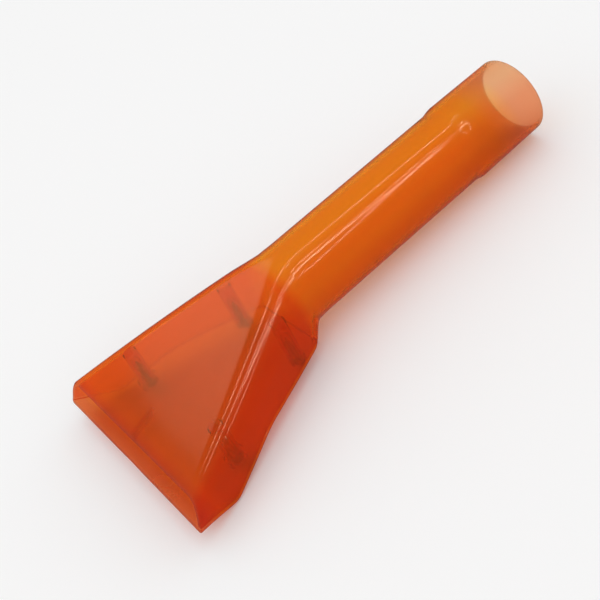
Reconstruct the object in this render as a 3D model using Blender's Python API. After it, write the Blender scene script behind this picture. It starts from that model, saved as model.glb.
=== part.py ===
"""Hand suction nozzle: a moulded tube and flared head, a back cover and its four screws.

The tool's own axes: X runs along the tube from the mouth to the hose socket, Y across the
mouth and Z from the back cover to the front wall. An empty lays the tool down on its back.
"""
import math
from types import SimpleNamespace

import bmesh
import bpy
from mathutils import Matrix, Vector

MM = 0.001
GAP = 0.3 * MM                  # clearance that neighbouring pieces keep

# Tube and hose socket
TUBE_R = 19.0 * MM
WALL = 2.3 * MM
SOCKET_R_STEP = 19.95 * MM      # the socket narrows slightly towards its rim
SOCKET_R_RIM = 19.6 * MM
SOCKET_BORE_R = 17.5 * MM
STEP_START_X = 192.5 * MM
STEP_END_X = 198.5 * MM
RIM_X = 235.5 * MM

# Head
NECK_X = 90.0 * MM              # where the round tube starts to flare
MOUTH_HALF_WIDTH = 54.4 * MM
FLARE_BOW = 1.4 * MM            # how far the side walls bow out of a straight flare
NECK_BLEND = 9.0 * MM
MOUTH_TOP_Z = -2.85 * MM        # front wall's outer face at x = 0
FRONT_SLOPE = 0.252
FRONT_BLEND = 12.0 * MM
MOUTH_CORNER_R = 7.0 * MM
BACK_SPLAY = 0.008             # the side walls lean out towards the back by this share

# Back of the head: flat, then bulging to a ridge, then coming in to the lip
BACK_Z = -17.4 * MM
KNEE_X = 43.2 * MM
RIDGE_X = 13.4 * MM
RIDGE_Z = -24.7 * MM
LIP_X = -6.8 * MM
LIP_Z = -16.0 * MM
KNEE_BLEND = 5.0 * MM
RIDGE_BLEND = 2.5 * MM
BACK_CORNER_R = 1.5 * MM
INNER_CORNER_R = 0.6 * MM
HEEL_START_X = 93.0 * MM
HEEL_END_X = 80.5 * MM
HEEL_WALL_SHIFT = 2.2 * MM      # the inner heel lies this much nearer the mouth
SECTION_START_X = -10.0 * MM    # the lofts run past the mouth before it is trimmed
PLAIN_STATIONS_X = [6.0 * MM, 24.0 * MM, 32.0 * MM, 56.0 * MM, 64.0 * MM, 70.0 * MM, 75.0 * MM]
NECK_END_STATIONS_X = [98.0 * MM, 102.0 * MM]

# Back cover
COVER_THICK = 2.2 * MM
COVER_END_X = 83.8 * MM
SEAT_R = 3.5 * MM               # well that the screw's head sits in
PAD_ROOT = 0.55                 # a pad starts this far through the cover's thickness

# Screws and the bosses that hold them, one entry for each left and right pair.
# "pad_rise" is how far the pad around the screw stands above the inside of the cover
# and "pad_wall" is the plastic between the screw's head and the top of that pad.
SCREW_PAIRS = {
    "upper": {
        "x": 72.1 * MM,
        "y": 20.3 * MM,
        "pad_r": 3.8 * MM,
        "pad_rise": 1.8 * MM,
        "pad_wall": 2.4 * MM,
    },
    "lower": {
        "x": 24.4 * MM,
        "y": 35.9 * MM,
        "pad_r": 4.9 * MM,
        "pad_rise": 2.9 * MM,
        "pad_wall": 2.0 * MM,
    },
}
HEAD_R = 3.0 * MM
HEAD_H = 2.1 * MM
SHANK_R = 1.45 * MM
SHANK_LENGTH = 14.0 * MM
TIP_LENGTH = 2.0 * MM
TIP_SHARE = 0.25                # the tip's end, as a share of the shank's radius
HEAD_PROFILE = ((0.55, 1.0), (0.86, 0.86), (1.0, 0.45))     # shares of its radius and height
RECESS_SPAN = 3.4 * MM
RECESS_WIDTH = 0.8 * MM
RECESS_DEPTH = 1.2 * MM
BOSS_R = 3.4 * MM
PILOT_R = SHANK_R + GAP
PILOT_SPARE = 1.0 * MM          # hole left beyond the screw's tip
DRILL_POINT = 1.0 * MM          # cone at the hole's blind end
DRILL_POINT_SHARE = 0.3

# Stiffening rib on the inside of the front wall
RIB_START_X = 0.8 * MM
RIB_END_X = 14.0 * MM
RIB_WIDTH = 1.6 * MM
RIB_HEIGHT = 3.2 * MM
RIB_NOSE = 3.0 * MM             # length over which the rib's end slopes down
RIB_NOSE_EDGE = 0.6 * MM

# Fineness of the meshes, and how far cutters reach past what they cut
CORNER_STEPS = 8
ROUND_SIDES = 36
HOLE_SIDES = 16
SCREW_SIDES = 20
HEEL_STEPS = 7
STEP_STEPS = 5
SHARP_ANGLE = math.radians(32)
WELD = 0.002 * MM
OVERLAP = 1.0 * MM
WELL_OVERLAP = 5.0 * MM
BORE_OVERLAP = 10.0 * MM
CUTTER_REACH = 80.0 * MM


# ---------------------------------------------------------------- profile curves

def blended_line(x, corner_x, corner_value, slope_before, slope_after, blend):
    """Two straight lines meeting at a corner, joined by a parabola of half-length blend."""
    offset = x - corner_x
    if offset <= -blend:
        return corner_value + slope_before * offset
    if offset >= blend:
        return corner_value + slope_after * offset
    bend = (slope_after - slope_before) * (offset + blend) ** 2 / (4 * blend)
    return corner_value + slope_before * offset + bend


def smooth_step(value):
    """Ease from 0 to 1 with level ends."""
    value = min(max(value, 0.0), 1.0)
    return value * value * (3 - 2 * value)


def mix(start, end, share):
    """Value that lies the given share of the way from start to end."""
    return start + (end - start) * share


def front_z(x):
    """Outer face of the front wall: sloping over the head, level along the tube."""
    corner_x = (TUBE_R - MOUTH_TOP_Z) / FRONT_SLOPE
    return blended_line(x, corner_x, TUBE_R, FRONT_SLOPE, 0.0, FRONT_BLEND)


def half_width(x):
    """Outer half-width of the head, and the tube's radius beyond the neck."""
    flare = (MOUTH_HALF_WIDTH - TUBE_R) / NECK_X
    straight = blended_line(x, NECK_X, TUBE_R, -flare, 0.0, NECK_BLEND)
    share = (NECK_X - x) / NECK_X
    bow = FLARE_BOW * 4 * share * (1 - share) if 0 < share < 1 else 0.0
    return straight + bow


def back_z(x):
    """Outer face of the back: flat from the heel, out to the ridge, in to the lip."""
    bulge_slope = (BACK_Z - RIDGE_Z) / (KNEE_X - RIDGE_X)
    lip_slope = (RIDGE_Z - LIP_Z) / (RIDGE_X - LIP_X)
    if x > (KNEE_X + RIDGE_X) / 2:
        return blended_line(x, KNEE_X, BACK_Z, bulge_slope, 0.0, KNEE_BLEND)
    return blended_line(x, RIDGE_X, RIDGE_Z, lip_slope, bulge_slope, RIDGE_BLEND)


def outer_radius(x):
    """Tube radius, the smooth step up to the socket, and the socket's slight taper."""
    if x < STEP_END_X:
        share = smooth_step((x - STEP_START_X) / (STEP_END_X - STEP_START_X))
        return mix(TUBE_R, SOCKET_R_STEP, share)
    return mix(SOCKET_R_STEP, SOCKET_R_RIM, (x - STEP_END_X) / (RIM_X - STEP_END_X))


def bore_radius(x):
    """Inner radius, stepping up in the socket to take the hose."""
    share = smooth_step((x - STEP_START_X) / (STEP_END_X - STEP_START_X))
    return mix(TUBE_R - WALL, SOCKET_BORE_R, share)


# ---------------------------------------------------------------- cross-sections

def corner_trim(side_length, radius):
    """Angle left out at an arc's end so that a side of no length still gets a chord."""
    full = math.pi / 4 / (CORNER_STEPS + 1)
    chord = 2 * radius * math.sin(full)
    return full * max(0.0, 1 - side_length / chord)


def section_loop(x, width, top, bottom, top_r, bottom_r):
    """Closed loop of points: a box with two corner radii, or a circle where they meet."""
    top_side = 2 * (width - top_r)
    bottom_side = 2 * (width - bottom_r)
    wall_side = top - bottom - top_r - bottom_r
    at_top = corner_trim(top_side, top_r)
    at_bottom = corner_trim(bottom_side, bottom_r)
    top_wall = corner_trim(wall_side, top_r)
    bottom_wall = corner_trim(wall_side, bottom_r)
    corners = (
        (width - top_r, top - top_r, top_r, 0, top_wall, at_top),
        (top_r - width, top - top_r, top_r, 1, at_top, top_wall),
        (bottom_r - width, bottom + bottom_r, bottom_r, 2, bottom_wall, at_bottom),
        (width - bottom_r, bottom + bottom_r, bottom_r, 3, at_bottom, bottom_wall),
    )
    splay = BACK_SPLAY * min(max((NECK_X - x) / NECK_X, 0.0), 1.0)
    loop = []
    for centre_y, centre_z, radius, quarter, trim_start, trim_end in corners:
        first = quarter * math.pi / 2 + trim_start
        last = (quarter + 1) * math.pi / 2 - trim_end
        for step in range(CORNER_STEPS + 1):
            angle = mix(first, last, step / CORNER_STEPS)
            y = centre_y + radius * math.cos(angle)
            z = centre_z + radius * math.sin(angle)
            y *= 1 + splay * (top - z) / (top - bottom)
            loop.append(Vector((x, y, z)))
    return loop


def head_section(x, inset, heel_shift):
    """Section of the head or of the tube, inset by a wall for the inside."""
    heel = smooth_step((HEEL_START_X - heel_shift - x) / (HEEL_START_X - HEEL_END_X))
    top = front_z(x) - inset
    bottom = mix(-TUBE_R, back_z(x), heel) + inset
    width = half_width(x) - inset
    along = min(max(x / NECK_X, 0.0), 1.0)
    top_r = mix(MOUTH_CORNER_R, TUBE_R, along) - inset
    bottom_r = max(mix(TUBE_R, BACK_CORNER_R, heel) - inset, INNER_CORNER_R)
    top_r = min(top_r, (top - bottom) - bottom_r)
    return section_loop(x, width, top, bottom, top_r, bottom_r)


def round_section(x, radius):
    """Circle across the tube."""
    return section_loop(x, radius, radius, -radius, radius, radius)


# ---------------------------------------------------------------- mesh helpers

def object_from_bmesh(name, bm):
    """Object from a closed bmesh, with its faces pointing out."""
    bmesh.ops.recalc_face_normals(bm, faces=bm.faces)
    bmesh.ops.triangulate(bm, faces=[f for f in bm.faces if len(f.verts) == 4])
    mesh = bpy.data.meshes.new(name)
    bm.to_mesh(mesh)
    bm.free()
    obj = bpy.data.objects.new(name, mesh)
    bpy.context.scene.collection.objects.link(obj)
    return obj


def loft(name, loops):
    """Closed solid through loops that all have the same number of points."""
    bm = bmesh.new()
    rings = [[bm.verts.new(point) for point in loop] for loop in loops]
    count = len(rings[0])
    for ring, following in zip(rings, rings[1:]):
        for i in range(count):
            j = (i + 1) % count
            bm.faces.new((ring[i], ring[j], following[j], following[i]))
    bm.faces.new(rings[0])
    bm.faces.new(rings[-1])
    return object_from_bmesh(name, bm)


def prism(name, outline, depth):
    """Solid from an XZ outline, extruded evenly across Y."""
    loops = [[Vector((x, y, z)) for x, z in outline] for y in (-depth, depth)]
    return loft(name, loops)


def turned_z(name, profile, centre, sides=ROUND_SIDES):
    """Solid turned about a line along Z through centre; profile is (radius, z) pairs."""
    loops = []
    for radius, z in profile:
        ring = []
        for i in range(sides):
            angle = 2 * math.pi * (i + 0.5) / sides
            y = centre[1] + radius * math.sin(angle)
            ring.append(Vector((centre[0] + radius * math.cos(angle), y, z)))
        loops.append(ring)
    return loft(name, loops)


def combine(target, other, operation):
    """Exact Boolean, applied at once; the other object is used up."""
    modifier = target.modifiers.new(operation.lower(), "BOOLEAN")
    modifier.operation = operation
    modifier.solver = "EXACT"
    modifier.object = other
    graph = bpy.context.evaluated_depsgraph_get()
    mesh = bpy.data.meshes.new_from_object(target.evaluated_get(graph))
    target.modifiers.clear()
    weld(mesh)
    old = target.data
    target.data = mesh
    bpy.data.meshes.remove(old)
    bpy.data.objects.remove(other)


def weld(mesh):
    """Join points that a Boolean has left almost touching."""
    bm = bmesh.new()
    bm.from_mesh(mesh)
    bmesh.ops.remove_doubles(bm, verts=bm.verts, dist=WELD)
    bmesh.ops.dissolve_degenerate(bm, dist=WELD, edges=bm.edges)
    bm.to_mesh(mesh)
    bm.free()


def finish(obj, material):
    """Give a piece its material, shaded smooth except at its real edges."""
    obj.data.materials.clear()
    obj.data.materials.append(material)
    obj.data.shade_smooth()
    obj.data.set_sharp_from_angle(angle=SHARP_ANGLE)
    return obj


# ---------------------------------------------------------------- materials

def principled(name, color, roughness, metallic, transmission):
    """Material with one Principled BSDF."""
    material = bpy.data.materials.new(name)
    material.use_nodes = True
    shader = material.node_tree.nodes["Principled BSDF"]
    shader.inputs["Base Color"].default_value = (*color, 1.0)
    shader.inputs["Roughness"].default_value = roughness
    shader.inputs["Metallic"].default_value = metallic
    shader.inputs["Transmission Weight"].default_value = transmission
    return material


def orange_plastic():
    """Glossy moulded plastic that lets some light through."""
    return principled("translucent_orange_plastic", (0.78, 0.16, 0.02), 0.12, 0.0, 0.5)


def zinc_steel():
    """Zinc plating on the screws."""
    return principled("zinc_plated_steel", (0.62, 0.62, 0.6), 0.35, 1.0, 0.0)


# ---------------------------------------------------------------- shared solids

def head_stations():
    """X of each section over the head, closer together where the shape turns."""
    spread = [SECTION_START_X, LIP_X, 0.0] + PLAIN_STATIONS_X
    spread += [RIDGE_X + RIDGE_BLEND * step for step in (-1, 0, 1)]
    spread += [KNEE_X + KNEE_BLEND * step for step in (-1, 0, 1)]
    return sorted(spread)


def heel_stations(shift):
    """X of each section where the back steps down from the tube to the head."""
    start = HEEL_START_X - shift
    end = HEEL_END_X - shift
    return [mix(end, start, step / HEEL_STEPS) for step in range(HEEL_STEPS + 1)]


def envelope(inset, heel_shift, end_x, radius_at):
    """The whole tool's outer solid, or its inside when inset by the wall."""
    stations = head_stations() + heel_stations(heel_shift) + NECK_END_STATIONS_X
    loops = [head_section(x, inset, heel_shift) for x in stations]
    climb = [mix(STEP_START_X, STEP_END_X, i / STEP_STEPS) for i in range(STEP_STEPS + 1)]
    loops += [round_section(x, radius_at(x)) for x in climb + [end_x]]
    return loft("envelope", loops)


def outer_solid():
    """The whole tool, filled."""
    return envelope(0.0, 0.0, RIM_X, outer_radius)


def inner_solid():
    """The passage through the whole tool, running out past the rim."""
    return envelope(WALL, HEEL_WALL_SHIFT, RIM_X + BORE_OVERLAP, bore_radius)


def below_parting(clearance):
    """Everything behind the line where the cover meets the body."""
    line = [(x, back_z(x) + COVER_THICK + clearance) for x in head_stations()]
    before_mouth = SECTION_START_X - WELL_OVERLAP
    line[0] = (before_mouth, line[0][1])
    end = COVER_END_X + clearance
    line.append((end, back_z(end) + COVER_THICK + clearance))
    outline = line + [(end, -CUTTER_REACH), (before_mouth, -CUTTER_REACH)]
    return prism("below_parting", outline, CUTTER_REACH)


def beyond_mouth():
    """Everything past the slanted plane of the mouth's rim."""
    along = Vector((LIP_X, LIP_Z - MOUTH_TOP_Z)) * 3
    top = Vector((0.0, MOUTH_TOP_Z)) - along
    bottom = Vector((LIP_X, LIP_Z)) + along
    outside = bottom.x - CUTTER_REACH
    outline = [(top.x, top.y), (bottom.x, bottom.y), (outside, bottom.y), (outside, top.y)]
    return prism("beyond_mouth", outline, CUTTER_REACH)


def screw_places():
    """Name, position, seat height, pad height and pad radius of each screw."""
    places = []
    for level, pair in SCREW_PAIRS.items():
        pad_top = back_z(pair["x"]) + COVER_THICK + pair["pad_rise"]
        for side, sign in (("right", -1), ("left", 1)):
            place = SimpleNamespace(
                name=f"{level}_{side}",
                x=pair["x"],
                y=sign * pair["y"],
                seat=pad_top - pair["pad_wall"],
                pad_top=pad_top,
                pad_r=pair["pad_r"],
            )
            places.append(place)
    return places


# ---------------------------------------------------------------- pieces

def nozzle_body(material):
    """Tube, hose socket, front and side walls, four screw bosses and the rib: one moulding."""
    body = outer_solid()
    body.name = "nozzle_body"
    combine(body, inner_solid(), "DIFFERENCE")
    combine(body, below_parting(GAP), "DIFFERENCE")
    for place in screw_places():
        add_boss(body, place)
    combine(body, centre_rib(), "UNION")
    combine(body, beyond_mouth(), "DIFFERENCE")
    return finish(body, material)


def add_boss(body, place):
    """Hollow post from the front wall down to the cover's pad."""
    centre = (place.x, place.y)
    start = place.pad_top + GAP
    roof = boss_roof(place.x, abs(place.y))
    post = [(BOSS_R, start), (BOSS_R, roof)]
    combine(body, turned_z("boss", post, centre), "UNION")
    end = place.seat + SHANK_LENGTH + PILOT_SPARE
    point = (PILOT_R * DRILL_POINT_SHARE, end + DRILL_POINT)
    hole = [(PILOT_R, start - OVERLAP), (PILOT_R, end), point]
    combine(body, turned_z("pilot", hole, centre, HOLE_SIDES), "DIFFERENCE")


def boss_roof(x, y):
    """Height at which the whole top of a post lies inside the front wall."""
    corner_r = mix(MOUTH_CORNER_R, TUBE_R, x / NECK_X)
    beyond = y + BOSS_R - (half_width(x) - corner_r)
    beyond = min(max(beyond, 0.0), corner_r)
    rounding = corner_r - math.sqrt(corner_r ** 2 - beyond ** 2)
    return front_z(x - BOSS_R) - WALL / 4 - rounding


def centre_rib():
    """Thin rib that runs up the middle of the front wall from the mouth."""
    top_start = front_z(RIB_START_X) - WALL / 2
    top_end = front_z(RIB_END_X) - WALL / 2
    drop = WALL / 2 + RIB_HEIGHT
    outline = [
        (RIB_START_X, top_start),
        (RIB_END_X, top_end),
        (RIB_END_X, top_end - WALL / 2 - RIB_NOSE_EDGE),
        (RIB_END_X - RIB_NOSE, front_z(RIB_END_X - RIB_NOSE) - WALL / 2 - drop),
        (RIB_START_X, top_start - drop),
    ]
    return prism("rib", outline, RIB_WIDTH / 2)


def back_cover(material):
    """Bent plate that closes the back of the head, with a seat and a pad at each screw."""
    cover = outer_solid()
    cover.name = "back_cover"
    combine(cover, below_parting(0.0), "INTERSECT")
    for place in screw_places():
        add_screw_seat(cover, place)
    combine(cover, beyond_mouth(), "DIFFERENCE")
    return finish(cover, material)


def add_screw_seat(cover, place):
    """Pad inside the cover, with the head's well and the screw's hole through it."""
    centre = (place.x, place.y)
    outside = back_z(place.x)
    pad = [(place.pad_r, outside + COVER_THICK * PAD_ROOT), (place.pad_r, place.pad_top)]
    combine(cover, turned_z("pad", pad, centre), "UNION")
    well = [(SEAT_R, outside - WELL_OVERLAP), (SEAT_R, place.seat)]
    combine(cover, turned_z("well", well, centre), "DIFFERENCE")
    hole = [(PILOT_R, place.seat - OVERLAP), (PILOT_R, place.pad_top + OVERLAP)]
    combine(cover, turned_z("hole", hole, centre, HOLE_SIDES), "DIFFERENCE")


def screw(place, material):
    """Pan-head self-tapping screw with a cross recess, pointing up from the back."""
    under = place.seat - GAP
    tip = under + SHANK_LENGTH
    profile = [(HEAD_R * width, under - HEAD_H * height) for width, height in HEAD_PROFILE]
    profile += [
        (HEAD_R, under),
        (SHANK_R, under),
        (SHANK_R, tip - TIP_LENGTH),
        (SHANK_R * TIP_SHARE, tip),
    ]
    body = turned_z(f"screw_{place.name}", profile, (place.x, place.y), SCREW_SIDES)
    floor = under - HEAD_H + RECESS_DEPTH
    for angle in (math.pi / 4, -math.pi / 4):
        size = Matrix.Diagonal((RECESS_SPAN, RECESS_WIDTH, 2 * RECESS_DEPTH, 1.0))
        centre = Matrix.Translation((place.x, place.y, floor - RECESS_DEPTH))
        bar = centre @ Matrix.Rotation(angle, 4, "Z") @ size
        bm = bmesh.new()
        bmesh.ops.create_cube(bm, size=1.0, matrix=bar)
        combine(body, object_from_bmesh("recess", bm), "DIFFERENCE")
    return finish(body, material)


# ---------------------------------------------------------------- the whole tool

def lay_down(pieces):
    """Parent the pieces to an empty that rests the tool on its back, centred on the origin."""
    base = bpy.data.objects.new("laid_on_its_back", None)
    bpy.context.scene.collection.objects.link(base)
    slope = (-SOCKET_R_RIM - RIDGE_Z) / (RIM_X - RIDGE_X)
    base.rotation_euler = (0.0, math.atan(slope), 0.0)
    turn = base.rotation_euler.to_matrix()
    points = [turn @ vertex.co for piece in pieces for vertex in piece.data.vertices]
    low = [min(point[axis] for point in points) for axis in range(3)]
    high = [max(point[axis] for point in points) for axis in range(3)]
    base.location = (-(low[0] + high[0]) / 2, -(low[1] + high[1]) / 2, -low[2])
    for piece in pieces:
        piece.parent = base


def build():
    """Clear the scene and make every piece."""
    for obj in list(bpy.data.objects):
        bpy.data.objects.remove(obj)
    orange = orange_plastic()
    steel = zinc_steel()
    pieces = [nozzle_body(orange), back_cover(orange)]
    for place in screw_places():
        pieces.append(screw(place, steel))
    lay_down(pieces)


build()
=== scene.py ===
"""Hand suction nozzle of translucent orange plastic, laid on its back on a pale floor.

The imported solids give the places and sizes. This script models each piece's fine surface in
the tool's own axes (X along the tube to the hose socket, Y across the mouth, Z from the back
cover to the front wall), in millimetres, and lays the tool down as the solids lie.
"""

import logging
import math
from dataclasses import dataclass
from enum import Enum
from typing import Any, Callable, Iterable, Sequence

import bmesh
import bpy
from mathutils import Matrix, Vector


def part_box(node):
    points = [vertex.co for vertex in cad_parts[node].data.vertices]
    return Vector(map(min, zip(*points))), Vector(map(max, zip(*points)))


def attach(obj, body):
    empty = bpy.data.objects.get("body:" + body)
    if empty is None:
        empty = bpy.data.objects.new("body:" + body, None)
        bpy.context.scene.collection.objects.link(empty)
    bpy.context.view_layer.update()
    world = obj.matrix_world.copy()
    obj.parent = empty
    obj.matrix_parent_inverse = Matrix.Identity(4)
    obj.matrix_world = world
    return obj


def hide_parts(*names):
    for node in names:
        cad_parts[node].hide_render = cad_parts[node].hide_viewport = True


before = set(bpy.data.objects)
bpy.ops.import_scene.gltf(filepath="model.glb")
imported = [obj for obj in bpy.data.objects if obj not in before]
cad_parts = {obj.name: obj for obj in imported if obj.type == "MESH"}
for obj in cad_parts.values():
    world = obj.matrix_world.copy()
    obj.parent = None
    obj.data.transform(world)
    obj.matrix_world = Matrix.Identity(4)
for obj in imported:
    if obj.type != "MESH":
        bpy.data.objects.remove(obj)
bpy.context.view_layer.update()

MM = 0.001
WELD_DISTANCE = 0.002 * MM
QUARTER_TURN = math.pi / 2
BODY = "root"
LOG = logging.getLogger("suction_nozzle")

Pair = tuple[float, float]
Triple = tuple[float, float, float]
Loop = list[Vector]
Row = Sequence[int]
Station = Callable[[float], float]


# ------------------------------------------------------------------ small maths

def mix(start: float, end: float, share: float) -> float:
    """Value that lies the given share of the way from start to end."""
    return start + (end - start) * share


def clamp(value: float, low: float = 0.0, high: float = 1.0) -> float:
    """Value held between low and high."""
    return min(max(value, low), high)


def smooth_step(value: float) -> float:
    """Ease from 0 to 1 with level ends."""
    value = clamp(value)
    return value * value * (3 - 2 * value)


def blended_line(x: float, corner: Pair, slopes: Pair, blend: float) -> float:
    """Two straight lines that meet at a corner, joined by a parabola.

    Args:
        x: Place to evaluate.
        corner: The lines' meeting point.
        slopes: Slope before and after the corner.
        blend: Half-length of the parabola.

    Returns:
        Height of the line at x.
    """
    corner_x, height = corner
    before, after = slopes
    offset = x - corner_x
    if offset <= -blend:
        return height + before * offset
    if offset >= blend:
        return height + after * offset
    return height + before * offset + (after - before) * (offset + blend) ** 2 / (4 * blend)


def spaced(start: float, zones: Iterable[Pair]) -> list[float]:
    """Places from start up to, but without, the last zone's end.

    Args:
        start: The first place.
        zones: Each zone's end and the spacing, about, of the places in it.

    Returns:
        The places.
    """
    places = []
    for end, spacing in zones:
        count = max(1, round((end - start) / spacing))
        places += [mix(start, end, step / count) for step in range(count)]
        start = end
    return places


def same_everywhere(x: float) -> Station:
    """Station whose X doesn't depend on the height."""
    return lambda z: x


def mirrored(points: Loop) -> Loop:
    """The points on the tool's other side, in reverse order."""
    return [Vector((point.x, -point.y, point.z)) for point in reversed(points)]


# ------------------------------------------------------------------ mesh building

def in_scene(name: str, data: bpy.types.ID) -> bpy.types.Object:
    """Add an object with the given data to the scene."""
    obj = bpy.data.objects.new(name, data)
    bpy.context.scene.collection.objects.link(obj)
    return obj


def object_from(bm: bmesh.types.BMesh, name: str) -> bpy.types.Object:
    """Make an object of a mesh under construction, which is used up."""
    mesh = bpy.data.meshes.new(name)
    bm.to_mesh(mesh)
    bm.free()
    return in_scene(name, mesh)


class Skin:
    """Vertices and faces of one closed surface, gathered row by row."""

    def __init__(self) -> None:
        """Start with nothing."""
        self.points: Loop = []
        self.faces: list[tuple[int, ...]] = []

    def row(self, points: Iterable[Vector]) -> list[int]:
        """Add a row of points and return their numbers."""
        first = len(self.points)
        self.points.extend(points)
        return list(range(first, len(self.points)))

    def face(self, corners: Row) -> None:
        """Add one face."""
        self.faces.append(tuple(corners))

    def loft(self, rows: Sequence[Row], closed: bool = False) -> None:
        """Join each row to the next with four-sided faces.

        Args:
            rows: Numbers of each row's points; all rows are equally long.
            closed: True where the rows run all the way round.
        """
        count = len(rows[0])
        for row, other in zip(rows, rows[1:]):
            for i in range(count if closed else count - 1):
                j = (i + 1) % count
                self.face((row[i], row[j], other[j], other[i]))

    def solid(self, rows: Sequence[Row]) -> None:
        """Join rows that run all the way round, and close both ends."""
        self.loft(rows, closed=True)
        self.face(rows[0])
        self.face(rows[-1])

    def bridge(self, start: Row, between: Iterable[Loop], end: Row,
               closed: bool = False) -> list[Row]:
        """Join two rows by way of new ones.

        Args:
            start: Numbers of the first row's points.
            between: Points of each new row.
            end: Numbers of the last row's points.
            closed: True where the rows run all the way round.

        Returns:
            All the rows, from start to end.
        """
        rows = [start, *(self.row(points) for points in between), end]
        self.loft(rows, closed)
        return rows

    def edge(self, outer: Sequence[Row], inner: Sequence[Row], end: int) -> None:
        """Join outer rows to inner ones along their first points or, with end -1, their last."""
        for i in range(len(outer) - 1):
            self.face((outer[i][end], outer[i + 1][end], inner[i + 1][end], inner[i][end]))

    def object(self, name: str) -> bpy.types.Object:
        """Make the surface into an object in millimetres, with its faces pointing out."""
        bm = bmesh.new()
        vertices = [bm.verts.new(point) for point in self.points]
        for corners in self.faces:
            bm.faces.new([vertices[corner] for corner in corners])
        bmesh.ops.recalc_face_normals(bm, faces=bm.faces)
        return object_from(bm, name)


def turned(name: str, profile: Sequence[Pair], centre: Pair, sides: int) -> bpy.types.Object:
    """Solid turned about a line along Z.

    Args:
        name: The object's name.
        profile: Radius and height of each ring, from one end to the other.
        centre: X and Y of the line.
        sides: Points in each ring.

    Returns:
        The new object.
    """
    skin = Skin()
    rings = []
    for radius, height in profile:
        ring = []
        for side in range(sides):
            angle = 2 * math.pi * (side + 0.5) / sides
            x = centre[0] + radius * math.cos(angle)
            ring.append(Vector((x, centre[1] + radius * math.sin(angle), height)))
        rings.append(skin.row(ring))
    skin.solid(rings)
    return skin.object(name)


class Cut(Enum):
    """What a Boolean does to its target."""

    JOIN = "UNION"
    REMOVE = "DIFFERENCE"


def combine(target: bpy.types.Object, tools: Sequence[bpy.types.Object], cut: Cut) -> None:
    """Apply exact Booleans at once; the tools are used up."""
    for tool in tools:
        modifier = target.modifiers.new(cut.name, "BOOLEAN")
        modifier.operation = cut.value
        modifier.solver = "EXACT"
        modifier.object = tool
        graph = bpy.context.evaluated_depsgraph_get()
        mesh = bpy.data.meshes.new_from_object(target.evaluated_get(graph))
        target.modifiers.clear()
        target.data = mesh
        bpy.data.objects.remove(tool)


def joined(name: str, parts: Sequence[bpy.types.Object]) -> bpy.types.Object:
    """One object that holds several separate closed shapes, which are used up."""
    bm = bmesh.new()
    for part in parts:
        bm.from_mesh(part.data)
        bpy.data.objects.remove(part)
    return object_from(bm, name)


# ------------------------------------------------------------------ shader graphs

# Numbers of a colour Mix node's sockets, several of which share a name.
MIX_SHARE, MIX_FIRST, MIX_SECOND, MIX_RESULT = 0, 6, 7, 2


class Blend(Enum):
    """How one colour is laid over another."""

    COVER = "MIX"
    MULTIPLY = "MULTIPLY"


class Signal:
    """A value that varies over a surface. Arithmetic on it adds Math nodes."""

    def __init__(self, graph: "ShaderGraph", socket: bpy.types.NodeSocket) -> None:
        """Wrap one output socket of a graph."""
        self.graph = graph
        self.socket = socket

    def _math(self, operation: str, left: Any, right: Any) -> "Signal":
        """Add one Math node for the two values."""
        return self.graph.node("ShaderNodeMath", {0: left, 1: right}, operation=operation)

    def __add__(self, other: Any) -> "Signal":
        """Sum."""
        return self._math("ADD", self, other)

    def __sub__(self, other: Any) -> "Signal":
        """Difference."""
        return self._math("SUBTRACT", self, other)

    def __rsub__(self, other: Any) -> "Signal":
        """Difference with a number on the left."""
        return self._math("SUBTRACT", other, self)

    def __mul__(self, other: Any) -> "Signal":
        """Product."""
        return self._math("MULTIPLY", self, other)

    __radd__ = __add__
    __rmul__ = __mul__


def opaque(colour: Signal | Triple) -> Any:
    """The colour as a socket takes it, with an alpha of 1; a Signal stays as it is."""
    return colour if isinstance(colour, Signal) else (*colour, 1.0)


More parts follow.
